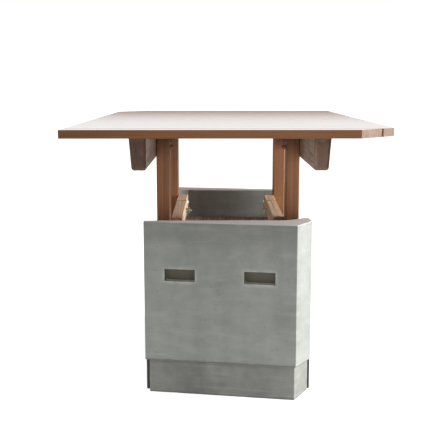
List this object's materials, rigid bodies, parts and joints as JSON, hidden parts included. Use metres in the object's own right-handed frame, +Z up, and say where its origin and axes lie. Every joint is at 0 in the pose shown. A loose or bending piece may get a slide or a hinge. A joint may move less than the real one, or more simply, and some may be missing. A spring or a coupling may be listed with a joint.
{
  "type": "garden table with a concrete base",
  "caption": "Plank-topped table on four posts that rise from an open well between two lift-off concrete end slabs with hand pockets, on recessed plinths.",
  "frame": {"origin": "on the floor under the centre of the table top", "axes": "+X to the right and +Y to the back as seen from the end with the clipped corner on the right, +Z up"},
  "size_m": [0.785, 1.344, 0.7435],
  "materials": {
    "top_wood": "bleached, open grain",
    "batten_wood": "weathered dark",
    "post_wood": "oiled reddish hardwood",
    "pine": "raw pine",
    "shelf_wood": "weathered grey-brown",
    "side_wood": "dark stained",
    "slab_concrete": "smooth cast concrete",
    "plinth_concrete": "board-marked cast concrete",
    "fastener_steel": "zinc plated"
  },
  "bodies": {
    "table": {"batten_left": "batten_wood", "batten_right": "batten_wood", "foot_rail_front": "side_wood", "foot_rail_rear": "side_wood", "front_plinth": "plinth_concrete", "lap_bolts": "fastener_steel", "lap_washers": "fastener_steel", "post_bolt_nuts": "fastener_steel", "post_bolt_washers": "fastener_steel", "post_bolts": "fastener_steel", "post_front_left": "post_wood", "post_front_right": "post_wood", "post_rear_left": "post_wood", "post_rear_right": "post_wood", "rail_bolt_nuts": "fastener_steel", "rail_bolt_washers": "fastener_steel", "rail_bolts": "fastener_steel", "rail_front_left": "pine", "rail_front_right": "pine", "rail_rear_left": "pine", "rail_rear_right": "pine", "rear_plinth": "plinth_concrete", "shelf_bearer_front": "shelf_wood", "shelf_bearer_rear": "shelf_wood", "shelf_board_1": "shelf_wood", "shelf_board_2": "shelf_wood", "shelf_board_3": "shelf_wood", "shelf_board_4": "shelf_wood", "shelf_screws": "fastener_steel", "side_board_1_left": "side_wood", "side_board_1_right": "side_wood", "side_board_2_left": "side_wood", "side_board_2_right": "side_wood", "side_screws": "fastener_steel", "side_sill_left": "side_wood", "side_sill_right": "side_wood", "slab_dowels": "fastener_steel", "top_plank_01": "top_wood", "top_plank_02": "top_wood", "top_plank_03": "top_wood", "top_plank_04": "top_wood", "top_plank_05": "top_wood", "top_plank_06": "top_wood", "top_plank_07": "top_wood", "top_plank_08": "top_wood", "top_plank_09": "top_wood", "top_plank_10": "top_wood", "top_plank_11": "top_wood", "top_plank_12": "top_wood", "top_plank_13": "top_wood", "top_plank_14": "top_wood", "top_plank_15": "top_wood", "top_screws_left": "fastener_steel", "top_screws_right": "fastener_steel"},
    "front_slab": {"front_slab": "slab_concrete"},
    "rear_slab": {"rear_slab": "slab_concrete"},
    "wing_nut_left": {"wing_nut_left": "fastener_steel"},
    "wing_nut_right": {"wing_nut_right": "fastener_steel"}
  },
  "joints": [
    {"name": "front_slab_lift", "type": "slide", "parent": "table", "child": "front_slab", "axis": [0, 0, 1], "range_m": [0, 0.15]},
    {"name": "rear_slab_lift", "type": "slide", "parent": "table", "child": "rear_slab", "axis": [0, 0, 1], "range_m": [0, 0.15]},
    {"name": "wing_nut_left_turn", "type": "hinge", "parent": "table", "child": "wing_nut_left", "pos_m": [-0.1215, 0.053, 0.451], "axis": [1, 0, 0], "range_deg": [0, 990]},
    {"name": "wing_nut_right_turn", "type": "hinge", "parent": "table", "child": "wing_nut_right", "pos_m": [0.1215, 0.053, 0.451], "axis": [-1, 0, 0], "range_deg": [0, 990]}
  ]
}
